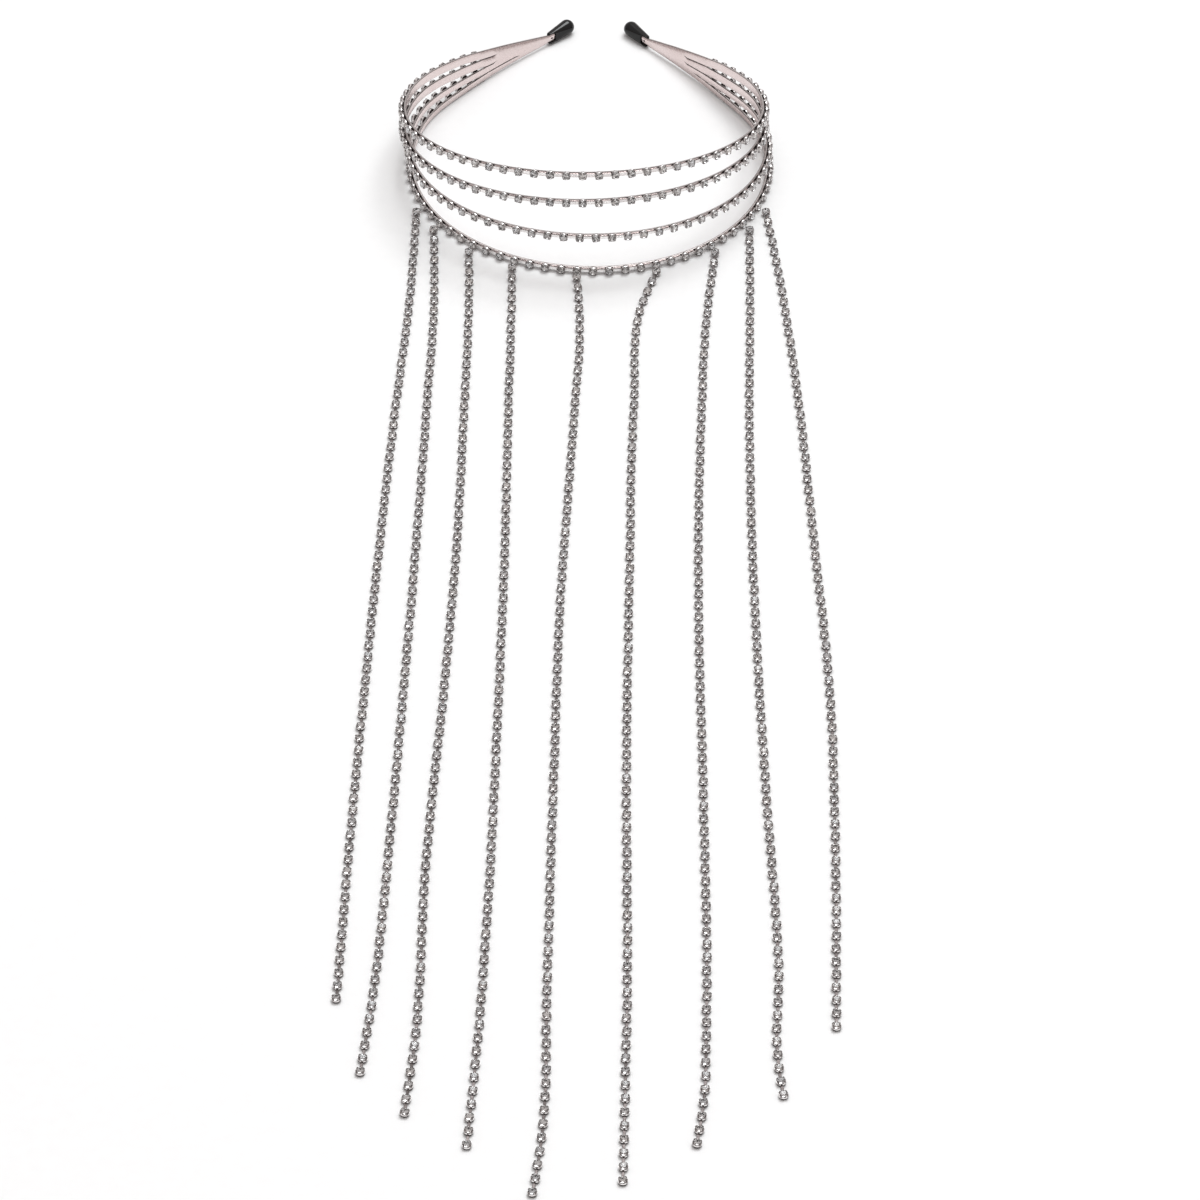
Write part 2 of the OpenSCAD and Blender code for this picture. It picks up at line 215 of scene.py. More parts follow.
# %% Cup metal
cup_metal, tree = new_finish("silver_plated_cup")
place = add_node(tree, "ShaderNodeTexCoord").outputs["Object"]
knocks = add_node(
    tree, "ShaderNodeTexNoise", {"Vector": place, "Scale": cycles_across(0.6), "Detail": 2}
).outputs["Fac"]
tarnish = add_node(
    tree, "ShaderNodeTexNoise", {"Vector": place, "Scale": cycles_across(6), "Detail": 2}
).outputs["Fac"]
cup_face = add_node(tree, "ShaderNodeValToRGB", {"Fac": tarnish})
cup_face.color_ramp.elements[0].position = 0.35
cup_face.color_ramp.elements[0].color = linear("#E6E1E0")
cup_face.color_ramp.elements[1].position = 0.65
cup_face.color_ramp.elements[1].color = linear("#F8F5F4")
cup_shine = add_node(
    tree,
    "ShaderNodeMapRange",
    {"Value": knocks, "From Min": 0.3, "From Max": 0.7, "To Min": 0.15, "To Max": 0.3},
).outputs["Result"]
cup_bump = add_node(
    tree, "ShaderNodeBump", {"Height": knocks, "Strength": 0.25, "Distance": 0.03 * MM}
).outputs["Normal"]
cup_shader = add_node(
    tree,
    "ShaderNodeBsdfPrincipled",
    {
        "Base Color": cup_face.outputs["Color"],
        "Metallic": 1.0,
        "Roughness": cup_shine,
        "Normal": cup_bump,
    },
)
add_node(tree, "ShaderNodeOutputMaterial", {"Surface": cup_shader.outputs["BSDF"]})
print("cup metal:", len(tree.nodes), "nodes")

# %% [markdown]
# ## Cut crystal with a foiled back
#
# A rhinestone is lead-free crystal glass, cut and polished, with a mirror foil on its pointed back.
# Light enters through the crown, bounces off the foil and leaves again, and that gives hard black
# and white flashes. So the crown is clear glass and the back facets are a bright mirror: the same
# two surfaces do the same work here. Small differences of tint between batches are kept very low.

# %% Crown glass and mirror foil
crown_glass, tree = new_finish("cut_crystal_crown")
place = add_node(tree, "ShaderNodeTexCoord").outputs["Object"]
batch = add_node(
    tree, "ShaderNodeTexNoise", {"Vector": place, "Scale": cycles_across(8), "Detail": 1}
).outputs["Fac"]
crown_colour = add_node(tree, "ShaderNodeValToRGB", {"Fac": batch})
crown_colour.color_ramp.elements[0].position = 0.3
crown_colour.color_ramp.elements[0].color = linear("#F1F4F7")
crown_colour.color_ramp.elements[1].position = 0.7
crown_colour.color_ramp.elements[1].color = linear("#FFFDFB")
crown_shader = add_node(
    tree,
    "ShaderNodeBsdfPrincipled",
    {
        "Base Color": crown_colour.outputs["Color"],
        "Roughness": 0.0,
        "IOR": 1.56,
        "Transmission Weight": 1.0,
    },
)
add_node(tree, "ShaderNodeOutputMaterial", {"Surface": crown_shader.outputs["BSDF"]})

foil, tree = new_finish("mirror_foil_back")
place = add_node(tree, "ShaderNodeTexCoord").outputs["Object"]
foil_grain = add_node(
    tree, "ShaderNodeTexNoise", {"Vector": place, "Scale": cycles_across(0.5), "Detail": 2}
).outputs["Fac"]
foil_shine = add_node(
    tree, "ShaderNodeMapRange", {"Value": foil_grain, "To Min": 0.02, "To Max": 0.1}
).outputs["Result"]
foil_colour = add_node(tree, "ShaderNodeValToRGB", {"Fac": foil_grain})
foil_colour.color_ramp.elements[0].color = linear("#E2E0DF")
foil_colour.color_ramp.elements[1].color = linear("#F8F6F5")
foil_shader = add_node(
    tree,
    "ShaderNodeBsdfPrincipled",
    {"Base Color": foil_colour.outputs["Color"], "Metallic": 1.0, "Roughness": foil_shine},
)
add_node(tree, "ShaderNodeOutputMaterial", {"Surface": foil_shader.outputs["BSDF"]})
print("stone finishes:", crown_glass.name, "and", foil.name)

# %% [markdown]
# ## Moulded black vinyl
#
# The covers on the two ends are dipped or moulded in soft vinyl: glossy, very dark, with the faint
# orange-peel skin that such a part keeps from its mould. A low, wide noise drives both.

# %% Cover vinyl
cover_vinyl, tree = new_finish("moulded_black_vinyl")
place = add_node(tree, "ShaderNodeTexCoord").outputs["Object"]
skin = add_node(
    tree, "ShaderNodeTexNoise", {"Vector": place, "Scale": cycles_across(1.2), "Detail": 2}
).outputs["Fac"]
vinyl_shine = add_node(
    tree, "ShaderNodeMapRange", {"Value": skin, "To Min": 0.07, "To Max": 0.16}
).outputs["Result"]
vinyl_colour = add_node(tree, "ShaderNodeValToRGB", {"Fac": skin})
vinyl_colour.color_ramp.elements[0].color = linear("#040304")
vinyl_colour.color_ramp.elements[1].color = linear("#0C0B0C")
vinyl_bump = add_node(
    tree, "ShaderNodeBump", {"Height": skin, "Strength": 0.15, "Distance": 0.05 * MM}
).outputs["Normal"]
vinyl_shader = add_node(
    tree,
    "ShaderNodeBsdfPrincipled",
    {
        "Base Color": vinyl_colour.outputs["Color"],
        "Roughness": vinyl_shine,
        "IOR": 1.42,
        "Normal": vinyl_bump,
    },
)
add_node(tree, "ShaderNodeOutputMaterial", {"Surface": vinyl_shader.outputs["BSDF"]})
print("cover vinyl:", len(tree.nodes), "nodes")

# %% [markdown]
# ## Where the strips run
#
# Seen along its own plane, each strip is three arcs and a straight end: over the brow, around the
# temple, and a slight bend behind the ear. All four leave the same plate and rise at their own
# tilt. The construction model bends them by these same few numbers, so the finer metal below lies
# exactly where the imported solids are. Lengths are in millimetres until a mesh is made.

# %% Bends, rises and tilts of the strips
FRONT_RADIUS, FRONT_TURN = 65, math.radians(44)
SIDE_RADIUS, SIDE_TURN = 58, math.radians(82)
REAR_RADIUS, REAR_TURN = 200, math.radians(12)
TIP_RUN, FAN_BACK = 15, 3
FULL_H, BROW_H, STRIP_T, SLOT_W = [2.4, 2.4, 3, 3], 1.8, 0.8, 0.2
WIDEN_START, WIDEN_END = 40, 120
PLATE_START, PLATE_REACH, PLATE_SPREAD = 7, 36, 11.6
BULB_R, REST_Z = 2.7, 1.545
BROW_LEAN, BROW_BACK = [1.8, 0.3, -4.4, -4.5], 1
PLATE_BOW, BOW_REACH = [1, 1.3, 0.8, 0], 49
MIDDLE = Vector((15.9, -281.8, 0))

s_front = FRONT_RADIUS * FRONT_TURN
s_side = s_front + SIDE_RADIUS * SIDE_TURN
s_rear = s_side + REAR_RADIUS * REAR_TURN
half_length = s_rear + TIP_RUN
end_heading = FRONT_TURN + SIDE_TURN + REAR_TURN


def facing(heading):
    return Vector((math.sin(heading), -math.cos(heading)))


front_centre = Vector((0, FRONT_RADIUS))
side_centre = front_centre + (FRONT_RADIUS - SIDE_RADIUS) * facing(FRONT_TURN)
rear_centre = side_centre + (SIDE_RADIUS - REAR_RADIUS) * facing(FRONT_TURN + SIDE_TURN)
rear_end = rear_centre + REAR_RADIUS * facing(end_heading)
fan_depth = rear_end.y + (TIP_RUN + FAN_BACK) * math.sin(end_heading)
RISES = [REST_Z, 15.5, 29, 39]
TILTS = [math.asin((rise - BULB_R) / fan_depth) for rise in RISES]
print("half a strip is", round(half_length, 1), "mm long")
print("tilts", [round(math.degrees(tilt), 1) for tilt in TILTS], "degrees")


# %% Points and directions on a strip
def half_point(s):
    if s < s_front:
        return front_centre + FRONT_RADIUS * facing(s / FRONT_RADIUS)
    if s < s_side:
        return side_centre + SIDE_RADIUS * facing(FRONT_TURN + (s - s_front) / SIDE_RADIUS)
    if s < s_rear:
        turned = FRONT_TURN + SIDE_TURN + (s - s_side) / REAR_RADIUS
        return rear_centre + REAR_RADIUS * facing(turned)
    return rear_end + (s - s_rear) * Vector((math.cos(end_heading), math.sin(end_heading)))


def strip_rise(strip, reach):
    share = strip / 3 * PLATE_SPREAD
    if reach < PLATE_REACH:
        widened = max(reach - PLATE_START, 0) / (PLATE_REACH - PLATE_START)
        return BULB_R + (REST_Z - BULB_R) * reach / PLATE_REACH + share * widened
    after = (reach - PLATE_REACH) / (fan_depth - PLATE_REACH)
    return (REST_Z + share) * (1 - after) + RISES[strip] * after


def strip_point(strip, s):
    flat = half_point(abs(s))
    reach = fan_depth - flat.y
    brow_share = (reach / fan_depth) ** 2
    bowed = min(max(reach - PLATE_START, 0) / BOW_REACH, 1)
    bow = PLATE_BOW[strip] * math.sin(math.pi * bowed) - BROW_BACK * brow_share
    x = math.copysign(flat.x, s) + BROW_LEAN[strip] * brow_share
    return Vector((x, -reach * math.cos(TILTS[strip]) - bow, strip_rise(strip, reach)))


def half_height(strip, s):
    widened = (abs(s) - WIDEN_START) / (WIDEN_END - WIDEN_START)
    return (BROW_H + (FULL_H[strip] - BROW_H) * min(max(widened, 0), 1)) / 2


def strip_up(strip):
    return Vector((0, math.sin(TILTS[strip]), math.cos(TILTS[strip])))


def strip_along(strip, s):
    return (strip_point(strip, s + 0.5) - strip_point(strip, s - 0.5)).normalized()


def strip_out(strip, s):
    return strip_along(strip, s).cross(strip_up(strip)).normalized()


print("brow of each strip at height", [round(strip_point(k, 0).z, 1) for k in range(4)], "mm")

# %% [markdown]
# ## The metal: four strips and two plates
#
# One sheet of steel is sawn into four strips that stay joined at the ends, then bent. A sweep of
# the four sections does the same: where a slot is open, two strips have their own edges, and where
# it is closed they share one, so the plate stays a single skin. A small bevel then takes the
# sharpness off every sawn edge, as tumbling does. These rolled corners are painted near-black as
# painted shade, which gives each strip its thin dark outline.

# %% Edges of the sheet
SLOT_FROM_LEFT = [168.0, 157.2, 157.2]
SLOT_FROM_RIGHT = [157.2, 162.6, 162.6]


def wall_foot(s):
    return strip_point(0, s) - half_height(0, s) * strip_up(0)


def wall_head(s):
    return strip_point(3, s) + half_height(3, s) * strip_up(3)


def slot_closed(slot, s):
    return s <= -SLOT_FROM_LEFT[slot] or s >= SLOT_FROM_RIGHT[slot]


def slot_edges(slot, s):
    """Head of the strip below a slot and foot of the one above; one point where it is closed."""
    up = strip_up(slot)
    head = strip_point(slot, s) + half_height(slot, s) * up
    foot = strip_point(slot + 1, s) - half_height(slot + 1, s) * strip_up(slot + 1)
    if slot_closed(slot, s):
        share = (slot + 1) / 4
        middle = (strip_point(slot, s) + strip_point(slot + 1, s)) / 2
        shared = Vector((middle.x, middle.y, wall_foot(s).z * (1 - share) + wall_head(s).z * share))
        return shared, shared
    if (foot - head).dot(up) > SLOT_W:
        return head, foot
    middle = (head + foot) / 2
    return middle - SLOT_W / 2 * up, middle + SLOT_W / 2 * up


print("slots start", [round(half_length - s, 1) for s in SLOT_FROM_LEFT], "mm from the left end")


# %% Sheet mesh
# Places of two finishes in the sheet's material list, after the polished face's own: sawn edges and
# the painted shade of the rolled corners
SAWN, ROLLED_SHADE = 1, 2
STATIONS = 350


def in_row(point):
    """A point of the band, in millimetres, as a point of the row frame, in metres."""
    return (point - MIDDLE) * MM


def sheet_metal(name, station_count):
    shape = bmesh.new()
    rows = []
    for i in range(station_count + 1):
        s = -half_length + 2 * half_length * i / station_count
        edges = [wall_foot(s)]
        for slot in range(3):
            edges += slot_edges(slot, s)
        edges.append(wall_head(s))
        row = {}
        for rail, edge in enumerate(edges):
            slot = (rail - 1) // 2
            if rail in (2, 4, 6) and slot_closed(slot, s):
                row[rail] = row[rail - 1]
                continue
            half = STRIP_T / 2 * strip_out(rail // 2, s)
            row[rail] = [shape.verts.new(in_row(edge - half)), shape.verts.new(in_row(edge + half))]
        rows.append((s, row))
    for (s, a), (t, b) in zip(rows, rows[1:]):
        for strip in range(4):
            foot, head = 2 * strip, 2 * strip + 1
            shape.faces.new((a[foot][1], b[foot][1], b[head][1], a[head][1]))
            shape.faces.new((a[foot][0], a[head][0], b[head][0], b[foot][0]))
        shape.faces.new((a[0][0], b[0][0], b[0][1], a[0][1])).material_index = SAWN
        shape.faces.new((a[7][1], b[7][1], b[7][0], a[7][0])).material_index = SAWN
        for slot in range(3):
            if slot_closed(slot, s) and slot_closed(slot, t):
                continue
            low, high = 2 * slot + 1, 2 * slot + 2
            for rail, (near, far) in ((low, (1, 0)), (high, (0, 1))):
                corners = [a[rail][near], b[rail][near], b[rail][far], a[rail][far]]
                shape.faces.new(corners).material_index = SAWN
    for (s, row), flip in ((rows[0], True), (rows[-1], False)):
        for strip in range(4):
            foot, head = row[2 * strip], row[2 * strip + 1]
            corners = [foot[0], foot[1], head[1], head[0]]
            shape.faces.new(corners[::-1] if not flip else corners)
    bmesh.ops.recalc_face_normals(shape, faces=shape.faces)
    mesh = bpy.data.meshes.new(name)
    shape.to_mesh(mesh)
    shape.free()
    piece = bpy.data.objects.new(name, mesh)
    bpy.context.scene.collection.objects.link(piece)
    return piece


strips = sheet_metal("strips_and_plates", STATIONS)
for finish in (strip_metal, sawn_edge, painted_shade_corner_metal):
    strips.data.materials.append(finish)
print("sheet metal:", len(strips.data.polygons), "faces")


# %% Rolled edges and the two pinholes
def settle(piece):
    """Applies the piece's modifiers, so that it is one plain mesh."""
    seen = piece.evaluated_get(bpy.context.evaluated_depsgraph_get())
    done = bpy.data.meshes.new_from_object(seen)
    piece.modifiers.clear()
    piece.data = done
    return piece


def soften(mesh, degrees):
    mesh.polygons.foreach_set("use_smooth", [True] * len(mesh.polygons))
    mesh.set_sharp_from_angle(angle=math.radians(degrees))


ROLL_WIDTH = 0.11
edge_roll = strips.modifiers.new("rolled_edges", "BEVEL")
edge_roll.width = ROLL_WIDTH * MM
edge_roll.segments = 2
edge_roll.limit_method = "ANGLE"
edge_roll.angle_limit = math.radians(50)
edge_roll.use_clamp_overlap = True
# The bevel's faces take the near-black painted shade, as a thin dark outline
edge_roll.material = ROLLED_SHADE
settle(strips)

COVER_RUN = 7
PINHOLE_R, PINHOLE_IN = 0.4, 1
mouth_s = half_length - COVER_RUN
pins = bmesh.new()
for side in (-1, 1):
    s = side * (mouth_s + PINHOLE_IN)
    middle = (wall_foot(s) + wall_head(s)) / 2
    turn = Vector((0, 0, 1)).rotation_difference(strip_out(0, s)).to_matrix().to_4x4()
    bmesh.ops.create_cone(
        pins,
        cap_ends=True,
        segments=24,
        radius1=PINHOLE_R * MM,
        radius2=PINHOLE_R * MM,
        depth=3 * MM,
        matrix=Matrix.Translation(in_row(middle)) @ turn,
    )
pin_mesh = bpy.data.meshes.new("pins")
pins.to_mesh(pin_mesh)
pins.free()
pin_tool = bpy.data.objects.new("pins", pin_mesh)
bpy.context.scene.collection.objects.link(pin_tool)
drill = strips.modifiers.new("pinholes", "BOOLEAN")
drill.operation = "DIFFERENCE"
drill.object = pin_tool
settle(strips)
bpy.data.objects.remove(pin_tool)
soften(strips.data, 35)
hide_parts("headband_frame")
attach(strips, "root")
print("finished metal:", len(strips.data.polygons), "faces")

# %% [markdown]
# ## One cup and its stone
#
# Cup chain is bought by the metre. A press draws a round cup from thin brass and leaves four claws,
# a stone drops in, and the claws are pushed over its edge. The cup is turned here from a profile,
# with a rim that dips between the claws; the claws are short tapered tongues; and the stone has an
# eight-sided table, star and girdle facets, and a pointed back. One such unit is copied to every
# place of a chain, so its facets are made once and well. Each face keeps the number of its finish.

# %% Cup profile
CUP_D = 3.05
CUP_SIDES = 24
CLAWS = 4
# Places of a chain's six finishes in its material list; the last three carry painted shade
PLATED, CROWN, FOIL, CLAW, PAINTED_SHADE, SHADED_LINK = range(6)
# Radius and height of the cup's wall in mm, from its foot over the rim and down inside
cup_profile = [
    (1.1, 0),
    (1.36, 0.07),
    (1.48, 0.25),
    (1.525, 0.6),
    (1.525, 1.2),
    (1.48, 1.27),
    (1.41, 1.24),
    (1.40, 0.2),
]
RIM_RINGS = (4, 5, 6)
RIM_DIP = 0.16
# Painted shade: the foot and the wall's lower rings take a near-black finish, for the shade low on
# each cup
PAINTED_SHADE_RINGS = 3


def pressed_cup():
    points, faces, finishes = [], [], []
    for ring, (radius, height) in enumerate(cup_profile):
        for k in range(CUP_SIDES):
            angle = 2 * math.pi * k / CUP_SIDES
            at_rim = 1 if ring in RIM_RINGS else 0
            dip = RIM_DIP * (0.5 + 0.5 * math.cos(CLAWS * angle)) * at_rim
            flat = radius * math.cos(angle), radius * math.sin(angle)
            points.append(Vector((*flat, height - dip)))
    for ring in range(len(cup_profile) - 1):
        for k in range(CUP_SIDES):
            a, b = ring * CUP_SIDES + k, ring * CUP_SIDES + (k + 1) % CUP_SIDES
            faces.append((a, b, b + CUP_SIDES, a + CUP_SIDES))
            # The lower rings take the near-black painted shade; the rest is plain plated metal
            finishes.append(PAINTED_SHADE if ring < PAINTED_SHADE_RINGS else PLATED)
    faces.append(tuple(range(CUP_SIDES))[::-1])
    last = (len(cup_profile) - 1) * CUP_SIDES
    faces.append(tuple(range(last, last + CUP_SIDES)))
    return points, faces, finishes + [PAINTED_SHADE, PLATED]


cup_points, cup_faces, cup_finishes = pressed_cup()
print("one cup:", len(cup_points), "points")

# %% Claws
# Middle line of a claw, radius and height, with its width there
claw_line = [(1.53, 0.9, 0.56), (1.55, 1.28, 0.52), (1.43, 1.52, 0.44), (1.16, 1.68, 0.3)]
CLAW_T = 0.13


def claw(angle):
    points, faces = [], []
    ahead, across = facing(angle + math.pi / 2), Vector((-math.sin(angle), math.cos(angle)))
    for i, (radius, height, width) in enumerate(claw_line):
        before, after = claw_line[max(i - 1, 0)], claw_line[min(i + 1, 3)]
        run = Vector((after[0] - before[0], after[1] - before[1])).normalized()
        for side, thick in ((-1, -1), (1, -1), (1, 1), (-1, 1)):
            r = radius + thick * CLAW_T / 2 * run.y
            z = height - thick * CLAW_T / 2 * run.x
            flat = ahead * r + across * side * width / 2
            points.append(Vector((flat.x, flat.y, z)))
    for i in range(len(claw_line) - 1):
        for k in range(4):
            a, b = 4 * i + k, 4 * i + (k + 1) % 4
            faces.append((a, b, b + 4, a + 4))
    faces += [(3, 2, 1, 0), tuple(range(4 * len(claw_line) - 4, 4 * len(claw_line)))]
    return points, faces


for k in range(CLAWS):
    new_points, new_faces = claw(math.radians(45 + 90 * k))
    first = len(cup_points)
    cup_points += new_points
    cup_faces += [tuple(first + corner for corner in face) for face in new_faces]
    # Claws take the mid-grey painted shade finish
    cup_finishes += [CLAW] * len(new_faces)
print("cup with", CLAWS, "claws:", len(cup_faces), "faces")

# %% Cut stone
# Radius and height of each ring of corners, and the height of the point at the back
TABLE = (0.78, 1.88)
STAR = (1.12, 1.68)
GIRDLE_TOP, GIRDLE_FOOT = (1.375, 1.4), (1.375, 1.34)
BELLY = (1.0, 0.84)
CULET = 0.34


def cut_stone():
    """Points, crown faces and foiled back faces of one stone."""
    points = []

    def ring(radius_height, count, turn):
        first = len(points)
        for k in range(count):
            angle = 2 * math.pi * k / count + turn
            radius, height = radius_height
            points.append(Vector((radius * math.cos(angle), radius * math.sin(angle), height)))
        return [first + k for k in range(count)]

    step = math.pi / 8
    table = ring(TABLE, 8, 2 * step)
    star = ring(STAR, 8, step)
    girdle = ring(GIRDLE_TOP, 16, step)
    under = ring(GIRDLE_FOOT, 16, step)
    belly = ring(BELLY, 8, step)
    points.append(Vector((0, 0, CULET)))
    culet = len(points) - 1
    crown, back = [tuple(table)], []
    for k in range(8):
        following = (k + 1) % 8
        crown.append((star[following], table[following], table[k]))
        crown.append((table[k], star[k], girdle[2 * k + 1]))
        crown.append((table[k], girdle[2 * k + 1], star[following]))
        crown.append((star[k], girdle[2 * k], girdle[2 * k + 1]))
        crown.append((star[k], girdle[(2 * k - 1) % 16], girdle[2 * k]))
        back.append((belly[k], culet, belly[following]))
        back.append((belly[k], belly[following], under[2 * k + 1]))
        back.append((belly[k], under[2 * k + 1], under[2 * k]))
        back.append((belly[k], under[2 * k], under[(2 * k - 1) % 16]))
    for k in range(16):
        following = (k + 1) % 16
        crown.append((girdle[k], under[k], under[following], girdle[following]))
    return points, crown, back


stone_points, crown_faces, back_faces = cut_stone()
stone_faces = crown_faces + back_faces
print("one stone:", len(crown_faces), "crown facets of", len(stone_faces))

# %% [markdown]
# ## Joining a chain
#
# A flat bar joins each cup to the next. A chain is gathered point by point into one mesh with six
# finishes, which is how such a chain is handled too: as one limp piece, never stone by stone. The
# bars take their finish from the caller: plain bright metal along a strip, and a dark grey painted
# shade on a chain that hangs free, for the shade in the gaps between its cups.

# %% Chain builder
BAR_W, BAR_T, BAR_LIFT, BAR_CUT = 0.9, 0.3, 0.3, 0.08
# How far a bar's end reaches into the wall of its cup
BAR_TUCK = 0.12


def bar_between(start, finish, up):
    """A flat bar with bevelled long edges, as points and faces."""
    along = (finish - start).normalized()
    across = up.cross(along).normalized()
    up = along.cross(across)
    half_w, half_t, cut = BAR_W / 2, BAR_T / 2, BAR_CUT
    section = [
        (-half_w, -half_t + cut),
        (-half_w + cut, -half_t),
        (half_w - cut, -half_t),
        (half_w, -half_t + cut),
        (half_w, half_t - cut),
        (half_w - cut, half_t),
        (-half_w + cut, half_t),
        (-half_w, half_t - cut),
    ]
    points = [end + across * w + up * t for end in (start, finish) for w, t in section]
    faces = [(k, k + 8, (k + 1) % 8 + 8, (k + 1) % 8) for k in range(8)]
    faces += [tuple(range(8)), tuple(range(15, 7, -1))]
    return points, faces


def chain_piece(name, node, units, bars, bar_finish):
    """One chain: a matrix in mm for each unit, and (start, finish, up) for each bar."""
    points, faces, finishes, smooth = [], [], [], []

    def gather(new_points, new_faces, new_finishes, is_smooth):
        first = len(points)
        points.extend(new_points)
        for face in new_faces:
            faces.append([first + corner for corner in face])
        finishes.extend(new_finishes)
        smooth.extend([is_smooth] * len(new_faces))

    stone_finishes = [CROWN] * len(crown_faces) + [FOIL] * len(back_faces)
    for unit in units:
        gather([unit @ p for p in cup_points], cup_faces, cup_finishes, True)
        gather([unit @ p for p in stone_points], stone_faces, stone_finishes, False)
    for start, finish, up in bars:
        bar_points, bar_faces = bar_between(start, finish, up)
        gather(bar_points, bar_faces, [bar_finish] * len(bar_faces), True)
    mesh = bpy.data.meshes.new(name)
    mesh.from_pydata([in_row(p) for p in points], [], faces)
    for finish in (cup_metal, crown_glass, foil, painted_shade_claw_metal, painted_shade_corner_metal, painted_shade_link_metal):
        mesh.materials.append(finish)
    mesh.polygons.foreach_set("material_index", finishes)
    mesh.set_sharp_from_angle(angle=math.radians(40))
    mesh.polygons.foreach_set("use_smooth", smooth)
    mesh.validate()
    piece = bpy.data.objects.new(name, mesh)
    bpy.context.scene.collection.objects.link(piece)
    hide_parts(node)
    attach(piece, "root")
    return piece


def as_unit(place, along, out):
    """Matrix that puts a cup's foot at a place, its own Z outward and X along the chain."""
    across = out.cross(along).normalized()
    along = across.cross(out).normalized()
    turned = Matrix((along, across, out)).transposed().to_4x4()
    return Matrix.Translation(place) @ turned


print("a unit has", len(cup_faces) + len(stone_faces), "faces")

# %% [markdown]
# ## Four chains on the strips
#
# The chains on the band are soldered down, stones outward, one beside the other along each strip.
# No two cups sit alike: each is turned a little around its own axis, as it left the solderer's
# tweezers, and that is why neighbouring stones flash differently.

# %% Band chains
PITCH = 5.5
HALF_COUNT = 27
CHAIN_SHIFT = [-2.4, 0, 0, 0]
SOLDER_GAP = 0.06
BAND_TURN, BAND_TILT = 12, 1.5
chance = random.Random(7)
facet_total = 0


def jostled(unit, turn, tilt):
    """The unit with a small chance turn about its own axis and a small tilt."""
    spin = Matrix.Rotation(math.radians(chance.uniform(-turn, turn)), 4, "Z")
    lean = Matrix.Rotation(math.radians(chance.uniform(-tilt, tilt)), 4, "Y")
    roll = Matrix.Rotation(math.radians(chance.uniform(-tilt, tilt)), 4, "X")
    return unit @ spin @ lean @ roll


for strip in range(4):
    units, bars = [], []
    places = [i * PITCH + CHAIN_SHIFT[strip] for i in range(-HALF_COUNT, HALF_COUNT + 1)]
    for s in places:
        out = strip_out(strip, s)
        foot = strip_point(strip, s) + (STRIP_T / 2 + SOLDER_GAP) * out
        unit = as_unit(foot, strip_along(strip, s), out)
        units.append(jostled(unit, BAND_TURN, BAND_TILT))
    for s, t in zip(places, places[1:]):
        lift = STRIP_T / 2 + SOLDER_GAP + BAR_LIFT + BAR_T / 2
        a = strip_point(strip, s) + lift * strip_out(strip, s)
        b = strip_point(strip, t) + lift * strip_out(strip, t)
        step = (b - a).normalized() * (CUP_D / 2 - BAR_TUCK)
        bars.append((a + step, b - step, strip_out(strip, (s + t) / 2)))
    row = 4 - strip
    made = chain_piece(f"chain_on_strip_{row}", f"band_chain_{row}", units, bars, PLATED)
    facet_total += len(made.data.polygons)
print("four chains on the band:", facet_total, "faces")

# %% [markdown]
# ## Nine tassels on the table
#
# Each tassel leaves a cup of the lowest chain, drops over its first two stones and then lies face
# up on the table in the line it was combed into. The route is the same smooth curve that the
# construction model sweeps. Every stone is rolled and tilted by a few degrees at random, since a
# limp chain never settles quite flat.

# %% Tassel routes
# The stone of the lowest chain that each tassel hangs from, counted from the middle of the brow,
# and then x and y along its route, in millimetres
TASSELS = [
    (-12, [(-57.5, -150), (-58, -215), (-58, -280), (-57.5, -345),
        (-56.5, -420), (-55, -491)]),
    (-10, [(-49, -155), (-47.5, -210), (-46, -280), (-45, -345),
        (-44, -430), (-44, -485), (-45.5, -521)]),
    (-7, [(-37, -155), (-34.5, -220), (-32.5, -285), (-32, -345),
        (-32, -430), (-30, -510), (-31, -537)]),
    (-4, [(-22, -160), (-19.5, -220), (-16.5, -285), (-14.5, -345),
        (-12, -430), (-11, -495), (-11.5, -549)]),
    (0, [(1.5, -160), (2.5, -220), (3, -305), (5.5, -390),
        (8.5, -480), (10.5, -545), (9, -567)]),
    (5, [(23, -152), (22.5, -210), (25, -295), (28.5, -390),
        (33, -480), (35.5, -561)]),
    (9, [(45.5, -150), (45.5, -220), (48, -305), (53, -395),
        (57.5, -490), (58, -528), (56.5, -545)]),
    (12, [(59.5, -140), (61.5, -210), (66, -300), (73, -397),
        (79, -475), (79.5, -506), (82, -524)]),
    (14, [(69, -133), (76.5, -190), (85, -275), (92, -350),
        (95, -415), (97, -495)]),
]
SEAT_GAP, CUP_DEPTH, STONE_RISE, CUP_GAP = 0.3, 1.3, 0.6, 0.1


def tassel_start(stone):
    s = stone * PITCH + CHAIN_SHIFT[0]
    out = strip_out(0, s)
    lift = STRIP_T / 2 + CUP_GAP + CUP_DEPTH + STONE_RISE + SEAT_GAP + CUP_D / 2 * abs(out.x)
    at = strip_point(0, s) + lift * out
    return Vector((at.x, at.y))


def route_slope(route, i):
    if i == 0:
        return (route[1] - route[0]).normalized()
    if i == len(route) - 1:
        return (route[i] - route[i - 1]).normalized()
    come, go = route[i] - route[i - 1], route[i + 1] - route[i]
    before, after = come.length, go.length
    return (come / before * after + go / after * before) / (before + after)


def route_line(route, step):
    """Points close together along the route's smooth curve."""
    line = []
    for i in range(len(route) - 1):
        span = (route[i + 1] - route[i]).length
        parts = max(2, round(span / step))
        for k in range(parts):
            t = k / parts
            line.append(
                route[i] * (2 * t**3 - 3 * t**2 + 1)
                + route_slope(route, i) * span * (t**3 - 2 * t**2 + t)
                + route[i + 1] * (3 * t**2 - 2 * t**3)
                + route_slope(route, i + 1) * span * (t**3 - t**2)
            )
    return line + [route[-1]]


print("tassels:", len(TASSELS))

